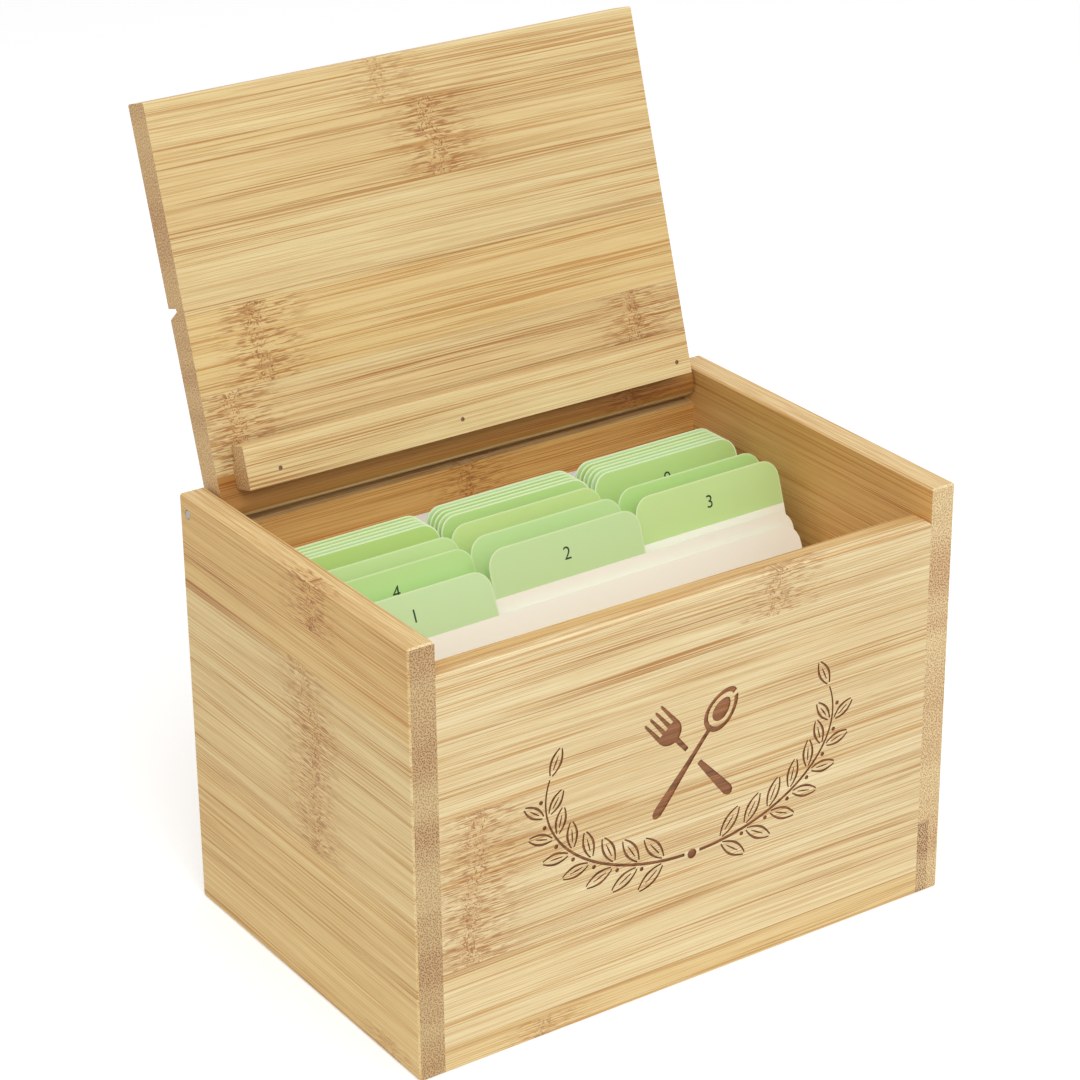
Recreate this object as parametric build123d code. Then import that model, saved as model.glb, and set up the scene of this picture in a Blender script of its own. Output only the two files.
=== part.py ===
"""Recipe card box: a bamboo box with a pinned lid, tabbed dividers and recipe cards.

Millimetres, +Z up. The origin is the centre of the box's underside; +X is the box's
right as seen from the front, and the front faces -Y. The lid is modelled open, resting
on its stop, and each divider stands down in the box.
"""

from build123d import *
import math
import os

# Recipe cards, 6 x 4 inches, which set the width of the box
card_width = 152.4
card_height = 101.6
divider_overhang = 2.6  # a divider is this much wider than a card
divider_side_room = 7.0  # the box is this much wider inside than a divider

# Box
box_depth = 118.0
box_height = 128.0
wall = 8.0  # side, front and back boards
floor_thickness = 7.0
front_drop = 9.9  # the front board's top is this far below the sides' tops
eased_edge = 0.5

# Lid and its hinge
lid_thickness = 9.2
lid_side_gap = 0.7
lid_front_setback = 1.7  # the closed lid stops this far short of the box's front
lid_seat_gap = 0.3  # closed lid over the front board
lid_open_angle = 107.0
stop_gap = 0.3  # open lid's square corner over the back board
pin_diameter = 2.8
pin_from_back = 4.3
pin_length = 20.0
pin_end_chamfer = 0.3
pin_running_clearance = 0.05  # radial, in the lid
pin_bore_spare = 0.5  # the lid's bore is this much deeper than the pin

# Card groove across the lid's outer face
groove_from_pin = 55.7  # to its upright wall
groove_depth = 4.6
groove_floor = 0.9
groove_mouth = 3.1

# Ledge inside the lid
ledge_end_gap = 5.4  # from each end of the ledge to the lid's side
ledge_height = 12.4
ledge_depth = 8.0
ledge_back_gap = 0.3  # closed ledge in front of the back board
slot_depth = 1.9  # gap between the ledge's free edge and the lid
slot_height = 5.2
ledge_chamfer = 1.1
brad_diameter = 1.3
brad_in_lid = 5.5
brad_recess = 0.3
brad_from_ledge_edge = 4.0
brad_from_left_end = 10.3
brad_off_middle = -5.0
brad_from_right_end = 4.7

# Tabbed dividers
sheet_thickness = 0.3
tab_rise = 13.4
tab_gap = 0.7
tab_places = 3
corner_radius = 5.5
divider_centre = -2.1  # the row stands nearer the left side
row_yaw = 1.0
divider_lean = 18.0
floor_gap = 0.3

# The front divider has slid down and leans towards the second
front_divider_gap = 2.3  # its foot behind the front board
front_divider_shift = -0.7
leaning_gap = 0.4  # its tab in front of the second one's sheet

# The next seven stand apart, at shares of the way from the front board to the stack
spread_shares = (0.363, 0.474, 0.534, 0.614, 0.671, 0.759, 0.863)
spread_shift = (-0.6, 0.5, -0.5, 0.0, 0.0, 0.6, 0.0)

# The rest form a close stack
stack_count = 16
stack_pitch = 0.64
stack_shift = 1.0
ledge_sweep_gap = 0.4  # closing lid's ledge past the last divider's tab

# Pack of recipe cards behind the dividers
card_thickness = 0.36
card_pitch = 0.66
card_count = 28
card_lean = 14.0
card_wall_gap = 0.1
pack_gap = 0.4  # last divider in front of the pack

cut_spare = 1.0  # cutting solids reach this far past the wood

# Derived sizes and places
divider_width = card_width + divider_overhang
divider_height = card_height  # without the tab
tab_width = (divider_width - (tab_places - 1) * tab_gap) / tab_places
inner_half_width = (divider_width + divider_side_room) / 2
half_width = inner_half_width + wall
half_depth = box_depth / 2
inner_half_depth = half_depth - wall
front_top = box_height - front_drop
lid_underside = front_top + lid_seat_gap
pin_y = half_depth - pin_from_back
pin_z = lid_underside + lid_thickness / 2
pin_axis = Axis((0, pin_y, pin_z), (1, 0, 0))
lid_half_width = inner_half_width - lid_side_gap
lid_reach = pin_y + half_depth - lid_front_setback  # pin to the lid's free edge
ledge_from_pin = pin_y - inner_half_depth + ledge_back_gap
ledge_half_length = lid_half_width - ledge_end_gap
brad_places = (
    brad_from_left_end - ledge_half_length,
    brad_off_middle,
    ledge_half_length - brad_from_right_end,
)


def board(low, high):
    """A board between two opposite corners."""
    size = [b - a for a, b in zip(low, high)]
    return Pos(*low) * Box(*size, align=(Align.MIN, Align.MIN, Align.MIN))


def ease(panel, *planes):
    """Chamfer every edge that lies on one of the planes, given as (coordinate, value)."""
    exposed = [
        edge
        for edge in panel.edges()
        if any(abs(getattr(edge.center(), name) - value) < 0.01 for name, value in planes)
    ]
    return chamfer(exposed, eased_edge)


def x_cylinder(diameter, low_x, high_x, y, z):
    """A cylinder along X."""
    turned = Rot(0, 90, 0) * Cylinder(diameter / 2, high_x - low_x)
    return Pos((low_x + high_x) / 2, y, z) * turned


def opened(shape):
    """Turn a piece of the closed lid to its open rest."""
    return shape.rotate(pin_axis, -lid_open_angle)


def side_panel(side):
    """The left (-1) or right (+1) side board, with its pin's bore."""
    x_inner = side * inner_half_width
    x_outer = side * half_width
    low = (min(x_inner, x_outer), -half_depth, 0)
    high = (max(x_inner, x_outer), half_depth, box_height)
    panel = ease(board(low, high), ("X", x_outer), ("Z", box_height))
    ends = (low[0] - cut_spare, high[0] + cut_spare)
    return panel - x_cylinder(pin_diameter, ends[0], ends[1], pin_y, pin_z)


def front_panel():
    """The front board, flush with the sides' front ends."""
    low = (-inner_half_width, -half_depth, 0)
    high = (inner_half_width, -inner_half_depth, front_top)
    return ease(board(low, high), ("Z", front_top))


def stop_corner_height():
    """Height of the lid's square back corner when the lid is open."""
    angle = math.radians(lid_open_angle)
    across = pin_from_back
    up = lid_thickness / 2
    return pin_z - across * math.sin(angle) + up * math.cos(angle)


def back_panel():
    """The back board; the open lid's square corner rests on its top."""
    low = (-inner_half_width, inner_half_depth, 0)
    high = (inner_half_width, half_depth, stop_corner_height() - stop_gap)
    return board(low, high)


def bottom_panel():
    """The bottom board, between the four walls."""
    low = (-inner_half_width, -inner_half_depth, 0)
    high = (inner_half_width, inner_half_depth, floor_thickness)
    return board(low, high)


def lid_profile(points):
    """A face in the closed lid's section: y and z from the pin, +y towards the back."""
    outline = [(pin_y + y, pin_z + z) for y, z in points]
    return Plane.YZ * make_face(Polyline(outline, close=True))


def brad_rods(bottom, top):
    """Upright rods at the brads' places in the closed lid, between heights from the pin."""
    length = top - bottom
    y = pin_y - ledge_from_pin - brad_from_ledge_edge
    z = pin_z + bottom + length / 2
    return [Pos(x, y, z) * Cylinder(brad_diameter / 2, length) for x in brad_places]


def lid_panel():
    """The lid board, its back underside rounded about the pins."""
    half = lid_thickness / 2
    section = [
        (pin_from_back, half),
        (-lid_reach, half),
        (-lid_reach, -half),
        (pin_from_back, -half),
    ]
    groove = [
        (-groove_from_pin, half + cut_spare),
        (-groove_from_pin, half - groove_depth),
        (-groove_from_pin + groove_floor, half - groove_depth),
        (-groove_from_pin + groove_mouth, half),
        (-groove_from_pin + groove_mouth, half + cut_spare),
    ]
    panel = extrude(lid_profile(section), amount=lid_half_width, both=True)
    lower = panel.edges().filter_by(Axis.X).group_by(Axis.Z)[0]
    panel = fillet(lower.sort_by(Axis.Y)[-1], pin_from_back - eased_edge)
    front = panel.edges().filter_by(Axis.X).group_by(Axis.Y)[0]
    panel = chamfer(front, eased_edge)
    panel -= extrude(lid_profile(groove), amount=lid_half_width + cut_spare, both=True)
    bore = pin_diameter + 2 * pin_running_clearance
    inner_end = half_width - pin_length - pin_bore_spare
    for side in (-1, 1):
        ends = sorted((side * inner_end, side * (lid_half_width + cut_spare)))
        panel -= x_cylinder(bore, ends[0], ends[1], pin_y, pin_z)
    for hole in brad_rods(-half, brad_in_lid - half):
        panel -= hole
    return opened(panel)


def lid_ledge():
    """The strip nailed inside the lid: a card slips behind its rebated free edge."""
    face = -lid_thickness / 2
    near = -ledge_from_pin
    far = near - ledge_height
    step = far + slot_height
    section = [
        (near - ledge_chamfer, face),
        (near, face - ledge_chamfer),
        (near, face - ledge_depth),
        (far, face - ledge_depth),
        (far, face - slot_depth),
        (step, face - slot_depth),
        (step, face),
    ]
    ledge = extrude(lid_profile(section), amount=ledge_half_length, both=True)
    for hole in brad_rods(face - ledge_depth, face):
        ledge -= hole
    return opened(ledge)


def ledge_brads():
    """The three brads, as separate solids, their heads set below the ledge's face."""
    face = -lid_thickness / 2
    head = face - ledge_depth + brad_recess
    return opened(Compound(children=brad_rods(head, face + brad_in_lid)))


def hinge_pin(side):
    """A headless pin, flush with the side board's outer face."""
    ends = sorted((side * half_width, side * (half_width - pin_length)))
    pin = x_cylinder(pin_diameter, ends[0], ends[1], pin_y, pin_z)
    return chamfer(pin.edges().filter_by(GeomType.CIRCLE), pin_end_chamfer)


def divider_sheet(place):
    """A divider, upright on the XZ plane, its tab in place 0 (left) to 2 (right)."""
    buried = 2.5 * corner_radius  # the tab's plain rounded foot, inside the sheet
    pitch = tab_width + tab_gap
    tab_x = (place - (tab_places - 1) / 2) * pitch
    tab_height = tab_rise + buried
    sheet = Pos(0, divider_height / 2) * RectangleRounded(divider_width, divider_height, corner_radius)
    tab_centre = Pos(tab_x, divider_height - buried + tab_height / 2)
    sheet += tab_centre * RectangleRounded(tab_width, tab_height, corner_radius)
    return extrude(Plane.XZ * sheet, amount=-sheet_thickness)


def foot_height(lean):
    """Height at which a leaning sheet's front foot stands clear of the floor."""
    return floor_thickness + floor_gap + sheet_thickness * math.sin(math.radians(lean))


def stand(sheet, lean, yaw, x, y, z):
    """Lean an upright sheet back and stand it at a place in a row turned about Z."""
    return Rot(0, 0, yaw) * Pos(x, y, z) * Rot(-lean, 0, 0) * sheet


def card_feet():
    """Feet of the recipe cards, from the one on the back board forwards."""
    lean = math.radians(card_lean)
    reach = card_height * math.sin(lean) + card_thickness * math.cos(lean)
    first = inner_half_depth - card_wall_gap - reach
    return [first - card_pitch / math.cos(lean) * step for step in range(card_count)]


def behind_last_divider():
    """Points (y, z) that the last divider's back face stays in front of."""
    lean = math.radians(card_lean)
    foot_y = card_feet()[-1] - pack_gap
    pack_foot = (foot_y, floor_thickness)
    pack_top = (foot_y + card_height * math.sin(lean), floor_thickness + card_height * math.cos(lean))
    tab_top = foot_height(divider_lean) + (divider_height + tab_rise) * math.cos(math.radians(divider_lean))
    ledge_reach = math.hypot(ledge_from_pin + ledge_height, lid_thickness / 2 + ledge_depth)
    sweep = ledge_reach + ledge_sweep_gap
    forward = math.sqrt(max(sweep**2 - (pin_z - tab_top) ** 2, 0))
    return [pack_foot, pack_top, (pin_y - forward, tab_top)]


def last_divider_y():
    """Foot of the last divider: its tab clears the closing lid's ledge, its body the pack."""
    lean = math.radians(divider_lean)
    tab_end = divider_centre + stack_shift + divider_width / 2
    yawed = tab_end * math.sin(math.radians(row_yaw))
    back_face = sheet_thickness / math.cos(lean)
    foot_z = foot_height(divider_lean)
    feet = [y - (z - foot_z) * math.tan(lean) for y, z in behind_last_divider()]
    return min(feet) - yawed - back_face


def front_divider_lean(front_y, second_y):
    """Lean of the front divider, its tab just clear of the second one's way out."""
    lean = math.radians(divider_lean)
    height = divider_height + tab_rise
    room = (second_y - front_y) * math.cos(lean) - leaning_gap
    further = math.asin(room / math.hypot(height, sheet_thickness))
    return divider_lean + math.degrees(further - math.atan2(sheet_thickness, height))


def dividers():
    """All dividers by node name, front to back, the tabs stepping left to right."""
    stack_y = [last_divider_y() - stack_pitch * step for step in range(stack_count)][::-1]
    front = -inner_half_depth
    spread_y = [front + share * (stack_y[0] - front) for share in spread_shares]
    first_y = front + front_divider_gap
    shifts = list(spread_shift) + [stack_shift] * stack_count
    rows = [(first_y, front_divider_lean(first_y, spread_y[0]), front_divider_shift)]
    rows += [(y, divider_lean, shift) for y, shift in zip(spread_y + stack_y, shifts)]
    found = {}
    for number, (y, lean, shift) in enumerate(rows, start=1):
        sheet = divider_sheet((number - 1) % tab_places)
        place = (divider_centre + shift, y, foot_height(lean))
        found[f"divider_{number:02d}"] = stand(sheet, lean, row_yaw, *place)
    return found


def recipe_cards():
    """The pack of cards, leaning back against the back board."""
    z = floor_thickness + card_thickness * math.sin(math.radians(card_lean))
    card = Box(card_width, card_thickness, card_height, align=(Align.CENTER, Align.MIN, Align.MIN))
    return Compound(children=[stand(card, card_lean, 0, 0, y, z) for y in card_feet()])


nodes = {
    "left_side_panel": side_panel(-1),
    "right_side_panel": side_panel(1),
    "front_panel": front_panel(),
    "back_panel": back_panel(),
    "bottom_panel": bottom_panel(),
    "lid_panel": lid_panel(),
    "lid_ledge": lid_ledge(),
    "ledge_brads": ledge_brads(),
    "hinge_pin_left": hinge_pin(-1),
    "hinge_pin_right": hinge_pin(1),
    "recipe_cards": recipe_cards(),
}
nodes.update(dividers())

os.makedirs("parts", exist_ok=True)
for name, shape in nodes.items():
    export_step(shape, f"parts/{name}.step")
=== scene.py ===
"""Looks of the bamboo recipe card box: wood, paper, steel, carving and tab numbers.

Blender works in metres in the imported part's frame. The wood's shader works in
millimetres along each board's own axes: along the grain, across it and through it.
"""

import math

import bmesh
import bpy
from mathutils import Matrix, Vector


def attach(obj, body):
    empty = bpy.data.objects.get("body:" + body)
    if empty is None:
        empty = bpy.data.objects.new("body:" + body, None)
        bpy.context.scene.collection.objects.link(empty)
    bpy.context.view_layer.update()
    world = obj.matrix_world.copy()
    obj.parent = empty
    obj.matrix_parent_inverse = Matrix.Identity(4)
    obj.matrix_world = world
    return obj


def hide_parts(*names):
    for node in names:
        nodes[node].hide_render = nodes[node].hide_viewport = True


MM = 0.001
PER_METRE = (1000.0, 1000.0, 1000.0)  # millimetres, along each axis


def srgb(red, green, blue):
    """A display colour, 0 to 255, as a linear colour with alpha."""
    linear = []
    for value in (red, green, blue):
        share = value / 255
        linear.append(share / 12.92 if share < 0.04045 else ((share + 0.055) / 1.055) ** 2.4)
    return (*linear, 1.0)


# ---------------------------------------------------------------- node building


class Web:
    """Short calls for building one material's nodes."""

    def __init__(self, name):
        self.material = bpy.data.materials.new(name)
        self.material.use_nodes = True
        self.tree = self.material.node_tree
        self.tree.nodes.clear()

    def add(self, kind, inputs=None, **settings):
        node = self.tree.nodes.new(kind)
        for key, value in settings.items():
            setattr(node, key, value)
        for key, value in (inputs or {}).items():
            self.put(node.inputs[key], value)
        return node

    def coordinates(self):
        """The object's own coordinates, in metres, and its normal."""
        outputs = self.add("ShaderNodeTexCoord").outputs
        return outputs["Object"], outputs["Normal"]

    def put(self, socket, value):
        if isinstance(value, bpy.types.NodeSocket):
            self.tree.links.new(value, socket)
        else:
            socket.default_value = value

    def math(self, operation, *values):
        return self.add("ShaderNodeMath", dict(enumerate(values)), operation=operation).outputs[0]

    def dot(self, vector, direction):
        inputs = {0: vector, 1: tuple(direction)}
        return self.add("ShaderNodeVectorMath", inputs, operation="DOT_PRODUCT").outputs["Value"]

    def combine(self, x, y, z):
        return self.add("ShaderNodeCombineXYZ", {0: x, 1: y, 2: z}).outputs[0]

    def scaled(self, vector, factor):
        inputs = {0: vector, 3: factor}
        return self.add("ShaderNodeVectorMath", inputs, operation="SCALE").outputs[0]

    def noise(self, vector, detail=2.0, roughness=0.5, distortion=0.0):
        inputs = {
            "Vector": vector,
            "Scale": 1.0,
            "Detail": detail,
            "Roughness": roughness,
            "Distortion": distortion,
        }
        return self.add("ShaderNodeTexNoise", inputs).outputs[0]

    def random(self, value):
        """Three random numbers for one number."""
        node = self.add("ShaderNodeTexWhiteNoise", {"W": value}, noise_dimensions="1D")
        return self.add("ShaderNodeSeparateColor", {0: node.outputs["Color"]}).outputs

    def step(self, value, low, high):
        """0 below low, 1 above high and smooth between; low may be the larger."""
        if low > high:
            return self.math("SUBTRACT", 1.0, self.step(value, high, low))
        inputs = {"Value": value, "From Min": low, "From Max": high}
        node = self.add("ShaderNodeMapRange", inputs, interpolation_type="SMOOTHSTEP")
        return node.outputs["Result"]

    def mix(self, factor, a, b, blend_type="MIX"):
        inputs = {0: factor, 6: a, 7: b}
        node = self.add("ShaderNodeMix", inputs, data_type="RGBA", blend_type=blend_type)
        return node.outputs[2]

    def finish(self, colour, roughness, bump=None, bump_distance=0.0, **sockets):
        """Ends in a Principled shader; sockets hold further inputs by name."""
        inputs = {"Base Color": colour, "Roughness": roughness}
        shader = self.add("ShaderNodeBsdfPrincipled", inputs)
        for name, value in sockets.items():
            shader.inputs[name.replace("_", " ")].default_value = value
        if bump is not None:
            inputs = {"Height": bump, "Strength": 1.0, "Distance": bump_distance}
            self.put(shader.inputs["Normal"], self.add("ShaderNodeBump", inputs).outputs[0])
        output = self.add("ShaderNodeOutputMaterial")
        self.tree.links.new(shader.outputs[0], output.inputs["Surface"])
        return self.material


# ---------------------------------------------------------------- bamboo

STRIP_WIDTH = 22.6
PLAIN = (1.0, 1.0, 1.0, 1.0)


def bamboo(
    name, grain, across, through, origin, seed, first_strip, knots=(), tints=(PLAIN, PLAIN),
    rim_colour=(232, 204, 148), end_tint=PLAIN, band=None, veneer=None, burnt=False,
):
    """Laminated bamboo: two plies of wide strips, with streaks, knots and dotted end grain.

    grain, across and through are the board's axes. origin, in mm, is where the distances
    along them start, with the glue line between the plies at 0 through. seed sets the
    pattern, and first_strip is one strip's low edge, in mm across. knots are (along, across
    low, across high, side, strength), side being -1, 1 or 0 for both faces. tints colour the
    faces below and above the glue line, rim_colour the narrow faces, end_tint the end grain,
    and band, as (across low, across high, tint), one strip below the glue line. Where
    through is below veneer, the narrow faces keep the broad faces' colour. burnt wood is
    the floor of a laser cut.
    """
    web = Web(name)
    metres, normal = web.coordinates()
    inputs = {0: metres, 1: PER_METRE, 2: tuple(-c for c in origin)}
    place = web.add("ShaderNodeVectorMath", inputs, operation="MULTIPLY_ADD").outputs[0]
    along = web.dot(place, grain)
    side_on = web.dot(place, across)
    deep = web.dot(place, through)

    # Strips, and three random numbers for each
    strips = web.math("DIVIDE", web.math("SUBTRACT", side_on, first_strip), STRIP_WIDTH)
    ply = web.math("GREATER_THAN", deep, 0.0)
    key = web.math("MULTIPLY_ADD", web.math("FLOOR", strips), 7.31, seed)
    key = web.math("MULTIPLY_ADD", ply, 31.7, key)
    chance = web.random(key)
    start = web.math("MULTIPLY_ADD", chance[0], 400.0, along)

    # Knots: a narrow scar and a zone of broken fibres on both sides of it
    waver = web.noise(web.combine(web.math("MULTIPLY", side_on, 0.16), key, 0.0), 2.0)
    shifted = web.math("MULTIPLY_ADD", web.math("SUBTRACT", waver, 0.5), 11.0, along)
    scar, zone = 0.0, 0.0
    for at, low, high, face, strength in knots:
        offset = web.math("SUBTRACT", shifted, at)
        above = web.step(side_on, low - 0.4, low + 0.4)
        inside = web.math("MULTIPLY", above, web.step(side_on, high + 0.4, high - 0.4))
        inside = web.math("MULTIPLY", inside, strength)
        if face:
            facing_out = web.math("GREATER_THAN", web.math("MULTIPLY", deep, face), 0.0)
            inside = web.math("MULTIPLY", inside, facing_out)
        near = web.step(web.math("ABSOLUTE", offset), 4.4, 1.4)
        scar = web.math("MAXIMUM", scar, web.math("MULTIPLY", inside, near))
        around = web.math("MULTIPLY", web.step(offset, -18.0, -1.0), web.step(offset, 24.0, 1.0))
        zone = web.math("MAXIMUM", zone, web.math("MULTIPLY", inside, around))

    # Fibres, nearly straight, which stray a little near a knot
    vector = web.combine(web.math("MULTIPLY", along, 0.09), web.math("MULTIPLY", side_on, 0.3), key)
    swirl = web.noise(vector, 2.0)
    swirl = web.math("MULTIPLY", web.math("SUBTRACT", swirl, 0.5), web.math("MULTIPLY", zone, 1.1))
    far = web.math("MULTIPLY", start, 0.006)
    drift = web.noise(web.combine(far, web.math("MULTIPLY", side_on, 0.03), key), 1.0)
    row = web.math("ADD", side_on, web.math("MULTIPLY_ADD", drift, 2.4, swirl))

    def fibres(length, pitch, detail=1.0, roughness=0.5):
        """Noise drawn out along the grain: streaks this long and this far apart, in mm."""
        vector = web.combine(
            web.math("DIVIDE", start, length),
            web.math("DIVIDE", row, pitch),
            web.math("DIVIDE", deep, pitch),
        )
        return web.noise(vector, detail, roughness)

    broad = web.step(fibres(140.0, 9.0), 0.34, 0.66)
    middle = web.step(fibres(110.0, 1.4, 3.0, 0.6), 0.36, 0.66)
    fine = web.step(fibres(20.0, 0.32, 2.0, 0.6), 0.36, 0.66)
    crowd = web.step(fibres(210.0, 4.2), 0.42, 0.6)
    thick_lines = web.step(fibres(105.0, 0.5), 0.57, 0.605)
    thin_lines = web.step(fibres(70.0, 0.36, 1.0), 0.54, 0.59)
    dashes = web.step(fibres(5.0, 0.4, 1.5), 0.51, 0.58)
    rim = web.step(web.math("ABSOLUTE", web.dot(normal, across)), 0.72, 0.9)

    # Colour of the faces: shade, golden strips, dark fibre lines, edges and knot dashes
    shade = web.math("MULTIPLY_ADD", broad, 0.22, web.math("MULTIPLY", middle, 0.20))
    shade = web.math("MULTIPLY_ADD", fine, 0.40, shade)
    shade = web.math("MULTIPLY_ADD", crowd, 0.16, shade)
    shade = web.math("ADD", shade, web.math("MULTIPLY_ADD", chance[1], 0.30, -0.22))
    shade = web.math("MULTIPLY_ADD", zone, 0.10, shade)
    colour = web.mix(shade, srgb(236, 221, 178), srgb(215, 184, 126))
    golden = web.math("MULTIPLY", web.step(chance[2], 0.4, 0.9), 0.35)
    colour = web.mix(golden, colour, srgb(230, 194, 120))
    share = web.math("MULTIPLY", thick_lines, web.math("MULTIPLY_ADD", crowd, 0.44, 0.22))
    share = web.math("MULTIPLY_ADD", thin_lines, web.math("MULTIPLY_ADD", crowd, 0.36, 0.30), share)
    share = web.math("MINIMUM", share, 0.85)
    colour = web.mix(share, colour, web.mix(broad, srgb(196, 140, 70), srgb(172, 112, 48)))
    edge = web.mix(share, web.mix(fine, srgb(*rim_colour), srgb(206, 168, 110)), srgb(170, 118, 60))
    if veneer is not None:
        rim = web.math("MULTIPLY", rim, web.step(deep, veneer - 0.15, veneer + 0.15))
    colour = web.mix(web.math("MULTIPLY", rim, 0.8), colour, edge)
    share_of_dashes = web.math("MULTIPLY", web.math("MULTIPLY", dashes, zone), 0.85)
    colour = web.mix(share_of_dashes, colour, srgb(164, 104, 54))

    # The scar: pale wood crossed by small dark wriggles and a few specks
    vector = web.combine(web.math("MULTIPLY", along, 0.55), web.math("MULTIPLY", row, 0.62), key)
    ripple = web.noise(vector, 1.5, 0.6, 1.2)
    ripple = web.math("ABSOLUTE", web.math("SUBTRACT", ripple, 0.5))
    vector = web.combine(web.math("MULTIPLY", along, 0.5), web.math("MULTIPLY", row, 0.5), seed)
    patches = web.noise(vector, 2.0)
    curls = web.math("MULTIPLY", web.step(ripple, 0.05, 0.018), web.step(patches, 0.36, 0.5))
    specks = web.step(web.noise(web.combine(along, row, key), 1.0), 0.66, 0.72)
    colour = web.mix(web.math("MULTIPLY", scar, 0.35), colour, srgb(224, 192, 138))
    for marks, strength, dark in (
        (curls, 0.85, srgb(156, 100, 56)),
        (specks, 0.6, srgb(104, 66, 42)),
    ):
        marked = web.math("MULTIPLY", web.math("MULTIPLY", marks, scar), strength)
        colour = web.mix(marked, colour, dark)

    # Glue lines between strips
    rest = web.math("FRACT", strips)
    seam = web.step(web.math("ABSOLUTE", web.math("SUBTRACT", rest, 0.5)), 0.490, 0.497)
    colour = web.mix(web.math("MULTIPLY", seam, 0.3), colour, srgb(170, 120, 66))

    # End grain: dots, crowded in patches
    vector = web.combine(web.math("MULTIPLY", side_on, 1.7), web.math("MULTIPLY", deep, 1.9), 0.0)
    inputs = {"Vector": vector, "Scale": 1.0}
    cells = web.add("ShaderNodeTexVoronoi", inputs, voronoi_dimensions="2D")
    cell = cells.outputs["Distance"]
    vector = web.combine(web.math("MULTIPLY", side_on, 0.045), seed, 3.0)
    patch = web.step(web.noise(vector, 2.0), 0.4, 0.62)
    crowding = web.math("MULTIPLY_ADD", patch, 0.35, 0.6)
    dot = web.math("MULTIPLY", web.step(cell, 0.42, 0.2), crowding)
    end = web.mix(patch, srgb(220, 192, 146), srgb(206, 170, 126))
    end = web.mix(dot, end, srgb(140, 92, 62))
    end = web.mix(web.math("MULTIPLY", scar, 0.4), end, srgb(166, 118, 80))
    end = web.mix(web.math("MULTIPLY", web.math("MULTIPLY", scar, dot), 1.2), end, srgb(78, 46, 36))
    end = web.mix(1.0, end, end_tint, "MULTIPLY")

    # Each face gets its own: tints and a band on the broad ones, end grain on the ends
    facing = web.step(web.math("ABSOLUTE", web.dot(normal, grain)), 0.72, 0.9)
    broadside = web.step(web.math("ABSOLUTE", web.dot(normal, through)), 0.6, 0.8)
    if band:
        low, high, tint = band
        inside = web.math("MULTIPLY", broadside, web.math("LESS_THAN", deep, 0.0))
        inside = web.math("MULTIPLY", inside, web.step(side_on, low - 0.3, low + 0.3))
        inside = web.math("MULTIPLY", inside, web.step(side_on, high + 0.3, high - 0.3))
        colour = web.mix(inside, colour, tint, "MULTIPLY")
    colour = web.mix(broadside, colour, web.mix(ply, *tints), "MULTIPLY")
    colour = web.mix(facing, colour, end)

    if burnt:
        colour = web.mix(middle, srgb(164, 107, 66), srgb(126, 80, 48))
        colour = web.mix(web.math("MULTIPLY", thin_lines, 0.5), colour, srgb(84, 52, 32))
    height = web.math("SUBTRACT", web.math("MULTIPLY", fine, 0.4), web.math("ADD", share, scar))
    return web.finish(colour, 0.52, height, 0.00004, Specular_IOR_Level=0.35)


# ---------------------------------------------------------------- paper and metal

# Painted highlight: a pale line just inside a tab's outline stands in for light on its cut edge
EDGE_HIGHLIGHT_LINE = (0.48, 0.24)  # mm in from a tab's outline: its pale line starts, and is full


def paper(name, front, colour, edge, tab=None):
    """Card stock with paler cut edges.

    tab is (row, up, printed, from, middle, top, half width, corner radius, rim) for a sheet
    with a tab, in mm along its row and up axes: above from it has the printed colour, with
    a pale line along the tab's outline, a painted highlight of the lit cut edge, as strong
    as rim.
    """
    web = Web(name)
    metres, normal = web.coordinates()
    inputs = {0: metres, 1: PER_METRE}
    place = web.add("ShaderNodeVectorMath", inputs, operation="MULTIPLY").outputs[0]
    cloud = web.noise(web.scaled(place, 0.05), 3.0)
    tooth = web.noise(web.scaled(place, 2.2), 3.0, 0.6)
    face = colour
    if tab:
        row, up, printed, start, middle, top, half, radius, rim = tab
        high = web.dot(place, up)
        x = web.math("ABSOLUTE", web.math("SUBTRACT", web.dot(place, row), middle))
        x = web.math("MAXIMUM", web.math("SUBTRACT", x, half - radius), 0.0)
        y = web.math("MAXIMUM", web.math("SUBTRACT", high, top - radius), 0.0)
        away = web.math("SQRT", web.math("MULTIPLY_ADD", x, x, web.math("MULTIPLY", y, y)))
        inset = web.math("SUBTRACT", radius, away)
        # Painted highlight along the tab's outline, for light on its cut edge
        outline = web.math("MULTIPLY", web.step(inset, *EDGE_HIGHLIGHT_LINE), rim)
        green = web.mix(outline, printed, edge)
        face = web.mix(web.step(high, start - 0.1, start + 0.1), colour, green)
    dimmer = web.mix(1.0, face, (0.96, 0.97, 0.95, 1.0), "MULTIPLY")
    uneven = web.math("MULTIPLY_ADD", tooth, 0.35, web.math("MULTIPLY", cloud, 0.5))
    shown = web.mix(uneven, face, dimmer)
    facing = web.math("ABSOLUTE", web.dot(normal, front))
    shown = web.mix(web.step(facing, 0.6, 0.4), shown, edge)
    return web.finish(shown, 0.62, tooth, 0.00001, Specular_IOR_Level=0.3)


def metal(name, colour, roughness):
    """Drawn steel with fine marks along X."""
    web = Web(name)
    metres, _ = web.coordinates()
    inputs = {0: metres, 1: (300.0, 9000.0, 9000.0)}
    marks = web.noise(web.add("ShaderNodeVectorMath", inputs, operation="MULTIPLY").outputs[0], 3.0)
    shown = web.mix(web.step(marks, 0.3, 0.75), colour, srgb(110, 106, 100))
    return web.finish(shown, roughness, marks, 0.00001, Metallic=1.0)


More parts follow.
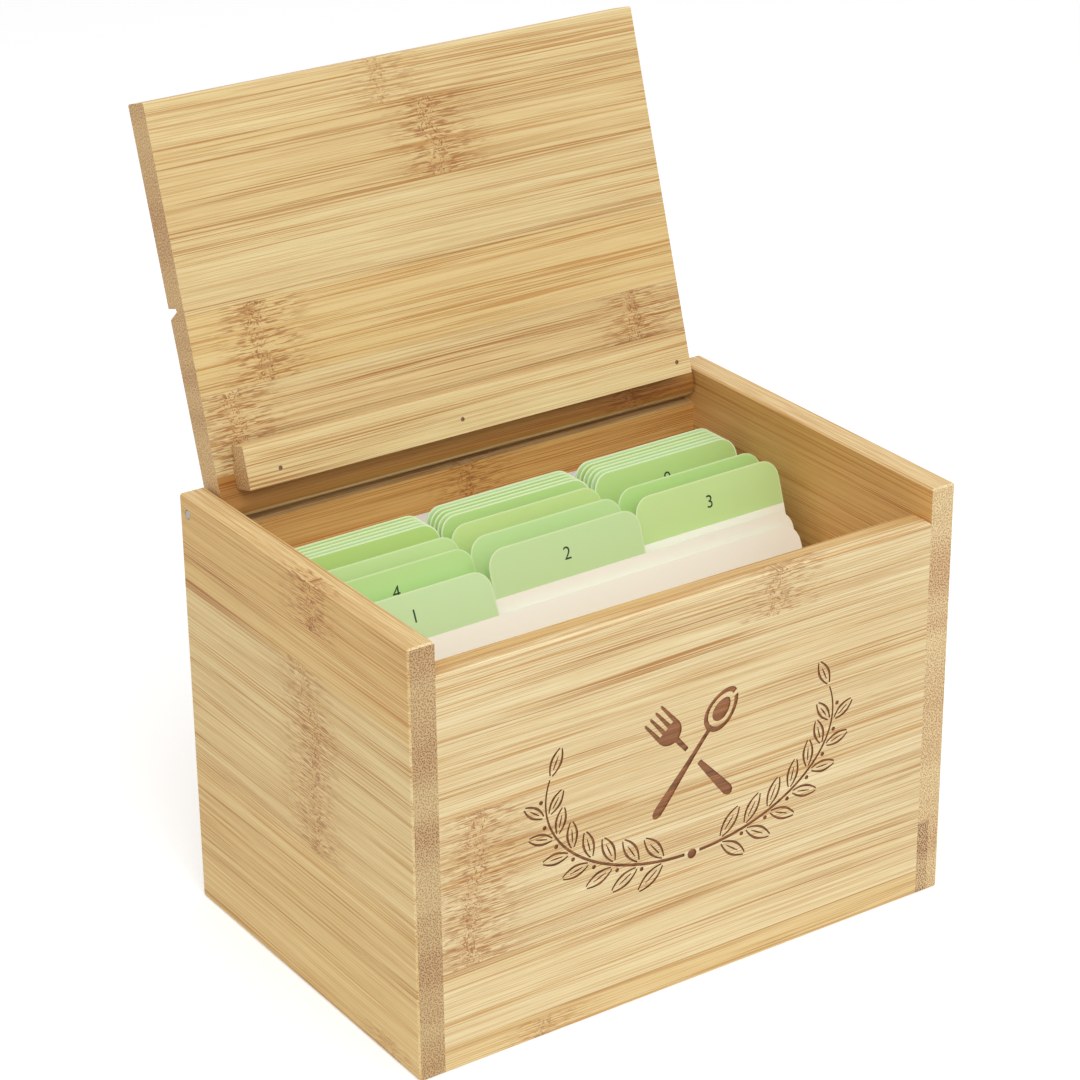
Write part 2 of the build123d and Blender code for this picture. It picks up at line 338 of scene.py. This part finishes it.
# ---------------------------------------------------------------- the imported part

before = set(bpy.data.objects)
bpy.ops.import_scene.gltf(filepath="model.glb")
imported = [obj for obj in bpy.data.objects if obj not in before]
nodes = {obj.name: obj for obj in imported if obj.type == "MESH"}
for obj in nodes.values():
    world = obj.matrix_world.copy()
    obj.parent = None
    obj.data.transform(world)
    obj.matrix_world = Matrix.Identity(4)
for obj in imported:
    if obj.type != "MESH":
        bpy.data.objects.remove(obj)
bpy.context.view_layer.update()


def dress(node, material):
    """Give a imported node's object one material."""
    mesh = nodes[node].data
    mesh.materials.clear()
    mesh.materials.append(material)


# Lid axes at rest: across runs from the pins to the free edge, through to the outer face
OPEN = math.radians(107)
LID_ACROSS = (0.0, -math.cos(OPEN), math.sin(OPEN))
LID_THROUGH = (0.0, math.sin(OPEN), math.cos(OPEN))
PINS = (0.0, 54.7, 123.0)  # the lid's axis, in mm

X, Y, Z = (1.0, 0.0, 0.0), (0.0, 1.0, 0.0), (0.0, 0.0, 1.0)

# Tints by which the boards' faces differ; the one for the walls' inner faces is partly painted
# shade
LID_TINT = (0.88, 0.82, 0.69, 1.0)
LEDGE_TINT = (0.97, 0.90, 0.77, 1.0)
SIDE_TINT = (0.97, 0.89, 0.72, 1.0)
# Partly the wood's tone, partly painted shade: darker and more orange on the walls' inner faces,
# where the box is shaded inside
INNER_TONE_AND_SHADE = (0.91, 0.67, 0.41, 1.0)

dress(
    "lid_panel",
    bamboo(
        "bamboo_lid", X, LID_ACROSS, LID_THROUGH, PINS, 3.0, -14.2,
        [
            (-8, 98.8, 113, -1, 0.55),
            (6, 76.2, 98.8, -1, 1.0),
            (-60, 31, 53.6, -1, 1.0),
            (-71, 8.4, 31, -1, 1.0),
            (63, 12, 31, -1, 0.9),
            (57, -6, 8.4, -1, 0.9),
            (-30, 53.6, 76.2, 1, 1.0),
            (44, 8.4, 31, 1, 1.0),
            (52, 76.2, 98.8, 1, 0.8),
        ],
        (LID_TINT, LID_TINT), end_tint=(0.98, 0.90, 0.72, 1.0),
        # Painted shade: the band darkens the lid's inner face between the pins and the ledge
        band=(-7.0, 8.4, (0.68, 0.46, 0.27, 1.0)),
    ),
)
dress(
    "lid_ledge",
    bamboo(
        "bamboo_ledge", X, LID_ACROSS, LID_THROUGH, PINS, 11.0, -6.0, (),
        (LEDGE_TINT, LEDGE_TINT), end_tint=LEDGE_TINT,
    ),
)
dress(
    "left_side_panel",
    bamboo(
        "bamboo_left", Y, Z, X, (-85.0, 0.0, 0.0), 21.0, 0.8,
        [
            (-12, 113.8, 128.5, -1, 1.0),
            (-6, 91.2, 102, -1, 0.7),
            (-11, 68.6, 91.2, -1, 1.0),
            (-9, 46, 68.6, -1, 0.9),
            (-44, 0, 6, -1, 0.6),
            (22, 68.6, 91.2, 1, 0.8),
        ],
        (SIDE_TINT, INNER_TONE_AND_SHADE), end_tint=(0.88, 0.88, 0.80, 1.0),
        band=(101.0, 128.5, (0.95, 0.86, 0.72, 1.0)),
    ),
)
dress(
    "right_side_panel",
    bamboo(
        "bamboo_right", Y, Z, X, (85.0, 0.0, 0.0), 37.0, 7.6,
        [
            (-57, -0.5, 23, -1, 1.0),
            (18, 30.2, 52.8, 1, 1.0),
            (31, 52.8, 75.4, 1, 0.8),
            (-28, 98, 120.6, 1, 0.8),
        ],
        (INNER_TONE_AND_SHADE, SIDE_TINT), end_tint=(1.1, 1.14, 1.1, 1.0),
    ),
)
dress(
    "back_panel",
    bamboo(
        "bamboo_back", X, Z, Y, (0.0, 55.0, 0.0), 53.0, 5.0,
        [
            (0, 95.4, 118, -1, 0.8),
            (48, 50.2, 72.8, 1, 1.0),
            (39, 72.8, 95.4, 1, 0.8),
            (-52, 5, 27.6, 1, 0.8),
        ],
        (INNER_TONE_AND_SHADE, PLAIN),
    ),
)
dress(
    "bottom_panel",
    bamboo(
        "bamboo_bottom", X, Y, Z, (0.0, 0.0, 3.5), 67.0, -40.0, [(30, -17, 5, -1, 0.8)]
    ),
)

front_knots = [
    (-70, 52.6, 76, -1, 1.0),
    (-72, 30, 52.6, -1, 1.0),
    (28, 105, 118.5, -1, 0.9),
    (-50, -0.5, 6, -1, 0.7),
]
FRONT_WOOD = (X, Z, Y, (0.0, -55.0, 0.0), 83.0, 7.4)  # shared, so that the cuts match it
front_wood = bamboo(
    "bamboo_front", *FRONT_WOOD, front_knots, (PLAIN, INNER_TONE_AND_SHADE), (214, 176, 110), veneer=-0.8
)
burnt_wood = bamboo("bamboo_burnt", *FRONT_WOOD, front_knots, burnt=True)

steel = metal("steel_pin", srgb(190, 188, 184), 0.32)
for node in ("hinge_pin_left", "hinge_pin_right"):
    dress(node, steel)
dress("ledge_brads", metal("steel_brad", srgb(146, 106, 76), 0.5))

# ---------------------------------------------------------------- dividers and cards

# In mm
BODY_HEIGHT = 101.6  # a divider without its tab
CORNER_RADIUS = 5.5
DIGIT_HEIGHT = 3.8
INK_LIFT = 0.03  # from the card to the number on it

CAPITAL_SHARE = 0.72  # a capital's height as a share of the font's size
# The close-standing tabs of the stack get a stronger painted edge highlight
FIRST_OF_STACK = 9  # from here on the tabs stand close, and their pale lines are stronger
CARD_WHITE, CARD_EDGE = srgb(255, 254, 240), srgb(236, 248, 208)
GREENS = (
    (204, 234, 176),
    (202, 233, 170),
    (202, 232, 156),
    (192, 228, 148),
    (199, 228, 158),
    (189, 223, 140),
    (204, 230, 158),
    (203, 227, 147),
    (193, 223, 140),
    (190, 220, 128),
    (190, 223, 140),
)
INK = srgb(32, 54, 32)


def sheet_front(mesh):
    """Outward normal of a leaning sheet's front: that of its largest polygon facing -Y."""
    return max(mesh.polygons, key=lambda p: p.area if p.normal.y < 0 else 0).normal.copy()


def as_mesh(thing):
    """A new mesh of an object as it shows, with its modifiers or its curve turned to faces."""
    graph = bpy.context.evaluated_depsgraph_get()
    return bpy.data.meshes.new_from_object(thing.evaluated_get(graph))


def flat_text(name, words, height, material):
    """Text as a flat mesh centred on its origin, its capitals this high."""
    curve = bpy.data.curves.new(name, "FONT")
    curve.body = words
    curve.size = height / CAPITAL_SHARE
    curve.align_x = "CENTER"
    maker = bpy.data.objects.new(name, curve)
    bpy.context.collection.objects.link(maker)
    bpy.context.view_layer.update()
    mesh = as_mesh(maker)
    bpy.data.objects.remove(maker)
    low = min(v.co.y for v in mesh.vertices)
    high = max(v.co.y for v in mesh.vertices)
    for vertex in mesh.vertices:
        vertex.co.y -= (low + high) / 2
    mesh.materials.clear()
    mesh.materials.append(material)
    piece = bpy.data.objects.new(name, mesh)
    bpy.context.collection.objects.link(piece)
    return piece


ink_web = Web("tab_ink")
ink_place = ink_web.add("ShaderNodeTexCoord").outputs["Object"]
ink_grain = ink_web.noise(ink_web.scaled(ink_place, 3000.0), 2.0)
ink = ink_web.finish(ink_web.mix(ink_grain, INK, srgb(46, 68, 42)), 0.6)

for number in range(1, 25):
    name = f"divider_{number:02d}"
    front = sheet_front(nodes[name].data)
    row = Vector(Z).cross(front).normalized()
    up = front.cross(row)
    corners = [v.co for v in nodes[name].data.vertices]
    foot = min(c.dot(up) for c in corners)
    top = max(c.dot(up) for c in corners)
    tab = [c for c in corners if c.dot(up) - foot > (BODY_HEIGHT + 3) * MM]
    face = max(c.dot(front) for c in corners)
    left, right = min(c.dot(row) for c in tab), max(c.dot(row) for c in tab)
    middle_x = (left + right) / 2
    middle_up = (foot + BODY_HEIGHT * MM + top) / 2
    printed = srgb(*GREENS[(number - 1) % len(GREENS)])
    # Strength of the painted edge highlight along the tab
    rim = 0.45 if number < FIRST_OF_STACK else 1.0
    tab_facts = (
        row, up, printed, foot / MM + BODY_HEIGHT, middle_x / MM, top / MM,
        (right - left) / 2 / MM, CORNER_RADIUS, rim,
    )
    dress(name, paper(f"card_{number:02d}", front, CARD_WHITE, CARD_EDGE, tab_facts))
    label = flat_text(f"number_{number:02d}", str(number), DIGIT_HEIGHT * MM, ink)
    centre = row * middle_x + up * middle_up + front * (face + INK_LIFT * MM)
    turn = Matrix((row, up, front)).transposed().to_4x4()
    label.matrix_world = Matrix.Translation(centre) @ turn
    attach(label, name)

blank_front = sheet_front(nodes["recipe_cards"].data)
blank = paper("card_blank", blank_front, srgb(246, 245, 240), srgb(252, 251, 248))
dress("recipe_cards", blank)

# ---------------------------------------------------------------- carved front board

# In mm
CARVED_DEPTH = 0.35
CUTTER_START = 0.4  # how far in front of the board the cutter begins
BOARD_FACE = -59.0
CENTRE = (0.0, 60.5)  # the carving's x and z


def turned(points, angle, at=(0.0, 0.0)):
    """Turn points about the origin, angle in degrees, and move them."""
    c, s = math.cos(math.radians(angle)), math.sin(math.radians(angle))
    return [(at[0] + x * c - y * s, at[1] + x * s + y * c) for x, y in points]


def mirrored(points):
    """Points with left and right exchanged, in the order that keeps their sense."""
    return [(-x, y) for x, y in reversed(points)]


def disc(at, radius, count=16):
    """A round dot's outline."""
    turns = [2 * math.pi / count * i for i in range(count)]
    return [(at[0] + radius * math.cos(a), at[1] + radius * math.sin(a)) for a in turns]


def stroke(path, widths):
    """A stroke along a path, its width running through the given values."""
    left, right = [], []
    last = len(path) - 1
    for i, (x, y) in enumerate(path):
        ahead, behind = path[min(i + 1, last)], path[max(i - 1, 0)]
        dx, dy = ahead[0] - behind[0], ahead[1] - behind[1]
        length = math.hypot(dx, dy)
        share = i / last * (len(widths) - 1)
        low = min(int(share), len(widths) - 2)
        half = (widths[low] + (widths[low + 1] - widths[low]) * (share - low)) / 2
        left.append((x - dy / length * half, y + dx / length * half))
        right.append((x + dy / length * half, y - dx / length * half))
    return left + right[::-1]


def leaf(length, width):
    """A pointed leaf along +x: two curved outlines that part at its tip, and a vein."""
    steps = [i / 10 for i in range(11)]
    side = [(length * s, width / 2 * math.sin(math.pi * s) ** 0.9) for s in steps]
    upper = stroke([(x, y + 0.36) for x, y in side], (0.42, 0.8, 0.42))
    vein = stroke([(length * (0.22 + 0.5 * s), 0.0) for s in (0.0, 0.5, 1.0)], (0.28, 0.5, 0.2))
    return [upper, [(x, -y) for x, y in reversed(upper)], vein]


def arc(middle, radius, start, end, count):
    """Points on a circle between two angles, in degrees."""
    steps = [math.radians(start + (end - start) * i / count) for i in range(count + 1)]
    return [(middle[0] + radius * math.cos(a), middle[1] + radius * math.sin(a)) for a in steps]


def handle(top, widths):
    """A handle's outline from its left top round its end to its right top, along -y."""
    path = [(0, y) for y in (top, *range(int(top) - 3, -17, -4), -18.4, -19.6, -20.2)]
    outline = stroke(path, widths)
    half = len(outline) // 2
    return outline[half:][::-1] + outline[:half][::-1]


def spoon():
    """A spoon along +y, its middle at the origin: a rimmed bowl, its shaded hollow, a handle."""

    def bowl(a, scale):
        x = 4.7 * scale * math.sin(a) * (1 - 0.14 * math.cos(a))
        return (x, 14.8 + 6.8 * (scale + 0.03) * math.cos(a))

    right = [0.5 + 2.5 * i / 18 for i in range(19)]
    left = [3.3 + 3.2 * i / 24 for i in range(25)]
    outer_right, outer_left = [bowl(a, 1.0) for a in right], [bowl(a, 1.0) for a in left]
    inner = [bowl(a, 0.76) for a in right + left][::-1]
    grip = handle(7.4, (1.3, 1.4, 1.6, 2.0, 2.5, 3.0, 3.3, 2.4, 0.8))
    hollow = [bowl(2 * math.pi * i / 32, 0.52) for i in range(32)]
    return [outer_right + grip[::-1] + outer_left + inner, hollow]


def fork():
    """A fork along +y, its middle at the origin, its handle broken where the spoon crosses."""
    head = arc((0, 12.4), 4.1, 180, 258, 8)
    head += [(-0.7, 3.2), (0.7, 3.2)]
    head += arc((0, 12.4), 4.1, 282, 360, 8)
    for x in (3.42, 1.14, -1.14, -3.42):
        head += [(x + 0.68, 13.8), (x + 0.42, 20.4), (x, 21.0), (x - 0.42, 20.4), (x - 0.68, 13.8)]
    return [head, handle(-3.2, (1.6, 2.0, 2.5, 3.0, 3.3, 2.4, 0.8))]


def on_garland(angle):
    """A point on the garland's stem, and the stem's heading there, both angles in degrees."""
    across, up = 48.0, 30.0
    t = math.radians(angle)
    heading = math.degrees(math.atan2(up * math.sin(t), across * math.cos(t)))
    return (across * math.sin(t), 10.0 - up * math.cos(t)), heading


def garland():
    """The right half of a leafy garland that sweeps out and up from below the utensils."""
    cuts = [stroke([on_garland(3 + 1.6 * i)[0] for i in range(64)], (1.0, 0.8, 0.45))]
    for i, angle in enumerate((12, 22.5, 33.5, 45, 57, 70, 84)):
        (x, y), heading = on_garland(angle)
        size = 9.6 - 0.4 * i
        for side in (1, -1):
            aim = math.radians(heading + 90 * side)
            root = (x + 1.1 * math.cos(aim), y + 1.1 * math.sin(aim))
            cuts += [turned(part, heading + side * 44, root) for part in leaf(size, size * 0.3)]
        (x, y), heading = on_garland(angle + 8.2)
        aim = math.radians(heading - 90)
        cuts.append(disc((x + 1.5 * math.cos(aim), y + 1.5 * math.sin(aim)), 0.65, 12))
    (x, y), heading = on_garland(105.4)
    root = (x + 0.3 * math.cos(math.radians(heading)), y + 0.3 * math.sin(math.radians(heading)))
    return cuts + [turned(part, heading, root) for part in leaf(8.0, 2.5)]


def carving():
    """All the cuts on the front board, as outlines in mm from the carving's centre."""
    cuts = [turned(part, -40, (0, 10)) for part in spoon()]
    cuts += [turned(part, 40, (0, 10)) for part in fork()]
    right = garland()
    return [*cuts, disc((0, -20.4), 1.5), *right, *(mirrored(part) for part in right)]


def area(points):
    """An outline's area, below 0 where it runs clockwise."""
    pairs = zip(points, points[1:] + points[:1])
    return sum(a[0] * b[1] - b[0] * a[1] for a, b in pairs) / 2


cutter = bmesh.new()
for outline in carving():
    if area(outline) < 0:
        outline = outline[::-1]
    ring = []
    for x, z in outline:
        point = (CENTRE[0] + x, BOARD_FACE - CUTTER_START, CENTRE[1] + z)
        ring.append(cutter.verts.new([value * MM for value in point]))
    plate = cutter.faces.new(ring)
    pushed = bmesh.ops.extrude_face_region(cutter, geom=[plate])
    for item in pushed["geom"]:
        if isinstance(item, bmesh.types.BMVert):
            item.co.y = (BOARD_FACE + CARVED_DEPTH) * MM
bmesh.ops.triangulate(cutter, faces=cutter.faces)
bmesh.ops.recalc_face_normals(cutter, faces=cutter.faces)
cutter_mesh = bpy.data.meshes.new("cutter")
cutter.to_mesh(cutter_mesh)
cutter.free()
cutter_object = bpy.data.objects.new("cutter", cutter_mesh)
bpy.context.collection.objects.link(cutter_object)

board = bpy.data.objects.new("front_board", nodes["front_panel"].data.copy())
bpy.context.collection.objects.link(board)
board.data.materials.clear()
board.data.materials.append(front_wood)
board.data.materials.append(burnt_wood)
weld = board.modifiers.new("weld", "WELD")
weld.merge_threshold = 1e-6
carve = board.modifiers.new("carve", "BOOLEAN")
carve.operation = "DIFFERENCE"
carve.solver = "EXACT"
carve.use_self = True
carve.object = cutter_object
bpy.context.view_layer.update()
carved = as_mesh(board)
board.modifiers.clear()
board.data = carved
bpy.data.objects.remove(cutter_object)
for polygon in carved.polygons:
    x, y, z = polygon.center / MM
    below_face = 0.02 < y - BOARD_FACE < 1.0
    off_edge = abs(x) < 70 and 15 < z < 105
    polygon.material_index = 1 if below_face and off_edge else 0
    polygon.use_smooth = False
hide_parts("front_panel")
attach(board, "box")

# ---------------------------------------------------------------- stage, light and camera

FLOOR_REACH = 6.0
FLOOR_DROP = 0.2  # mm below the box, so that the two faces don't fight
FLOOR_GLOW = 0.3
WORLD_LIGHT, WORLD_SEEN = 0.62, 1.0

floor_mesh = bpy.data.meshes.new("floor")
around = ((-1, -1), (1, -1), (1, 1), (-1, 1))
floor_corners = [(x * FLOOR_REACH, y * FLOOR_REACH, 0) for x, y in around]
floor_mesh.from_pydata(floor_corners, [], [(0, 1, 2, 3)])
floor = bpy.data.objects.new("floor", floor_mesh)
floor.location.z = -FLOOR_DROP * MM
bpy.context.collection.objects.link(floor)
floor_web = Web("floor_white")
rays = floor_web.add("ShaderNodeLightPath").outputs
matte = floor_web.add("ShaderNodeBsdfDiffuse", {"Color": (0.88, 0.88, 0.88, 1.0)})
seen = floor_web.add("ShaderNodeEmission", {"Color": (1, 1, 1, 1), "Strength": FLOOR_GLOW})
both = floor_web.add("ShaderNodeAddShader", {0: matte.outputs[0], 1: seen.outputs[0]})
shown = floor_web.math("MAXIMUM", rays["Is Camera Ray"], rays["Is Glossy Ray"])
shown = floor_web.math("MAXIMUM", shown, rays["Is Transmission Ray"])
chosen = floor_web.add("ShaderNodeMixShader", {0: shown, 1: matte.outputs[0], 2: both.outputs[0]})
floor_output = floor_web.add("ShaderNodeOutputMaterial")
floor_web.tree.links.new(chosen.outputs[0], floor_output.inputs["Surface"])
floor_mesh.materials.append(floor_web.material)

world = bpy.data.worlds.new("studio")
world.use_nodes = True
bpy.context.scene.world = world
sky = world.node_tree
sky.nodes.clear()
light_path = sky.nodes.new("ShaderNodeLightPath")
shown = light_path.outputs["Is Camera Ray"]
for kind in ("Is Glossy Ray", "Is Transmission Ray"):
    either = sky.nodes.new("ShaderNodeMath")
    either.operation = "MAXIMUM"
    sky.links.new(shown, either.inputs[0])
    sky.links.new(light_path.outputs[kind], either.inputs[1])
    shown = either.outputs[0]
level = sky.nodes.new("ShaderNodeMapRange")
level.inputs["To Min"].default_value = WORLD_LIGHT
level.inputs["To Max"].default_value = WORLD_SEEN
sky.links.new(shown, level.inputs["Value"])
background = sky.nodes.new("ShaderNodeBackground")
background.inputs["Color"].default_value = (1.0, 1.0, 1.0, 1.0)
sky.links.new(level.outputs["Result"], background.inputs["Strength"])
sky_output = sky.nodes.new("ShaderNodeOutputWorld")
sky.links.new(background.outputs[0], sky_output.inputs["Surface"])


def softbox(name, place, target, size, watts):
    """A square area lamp aimed at a point."""
    lamp = bpy.data.lights.new(name, "AREA")
    lamp.size = size
    lamp.energy = watts
    holder = bpy.data.objects.new(name, lamp)
    holder.location = place
    aim = Vector(target) - Vector(place)
    holder.rotation_mode = "QUATERNION"
    holder.rotation_quaternion = aim.to_track_quat("-Z", "Y")
    bpy.context.collection.objects.link(holder)


softbox("key", (-0.55, -1.0, 1.25), (0, 0, 0.1), 0.9, 8.5)
softbox("fill", (0.9, -1.0, 0.9), (0, 0, 0.1), 1.0, 3.0)
softbox("top", (-0.15, -0.25, 1.5), (0, 0, 0.1), 0.8, 4.0)

# Camera fitted to the photograph's box and lid corners, in mm and degrees
CAMERA_PLACE = (-475.65, -694.67, 499.61)
AZIMUTH, ELEVATION, ROLL = math.radians(-33.864), math.radians(25.731), math.radians(-0.625)
FOCAL_PIXELS = 3343.9
AXIS_DOWN_PIXELS = 60  # the optical axis meets the picture this far below its centre
PICTURE_PIXELS = 1080

back = Vector(
    (
        math.sin(AZIMUTH) * math.cos(ELEVATION),
        -math.cos(AZIMUTH) * math.cos(ELEVATION),
        math.sin(ELEVATION),
    )
)
right = (-back).cross(Vector(Z)).normalized()
upward = right.cross(-back)
right, upward = (
    right * math.cos(ROLL) + upward * math.sin(ROLL),
    upward * math.cos(ROLL) - right * math.sin(ROLL),
)
SENSOR = 36.0
lens = bpy.data.cameras.new("camera")
lens.sensor_width = SENSOR
lens.lens = FOCAL_PIXELS / PICTURE_PIXELS * SENSOR
lens.shift_y = AXIS_DOWN_PIXELS / PICTURE_PIXELS
lens.clip_start = 0.01
lens.clip_end = 30.0
camera = bpy.data.objects.new("camera", lens)
bpy.context.collection.objects.link(camera)
turn = Matrix((right, upward, back)).transposed().to_4x4()
camera.matrix_world = Matrix.Translation(Vector(CAMERA_PLACE) * MM) @ turn
bpy.context.scene.camera = camera
bpy.context.scene.view_settings.view_transform = "Standard"
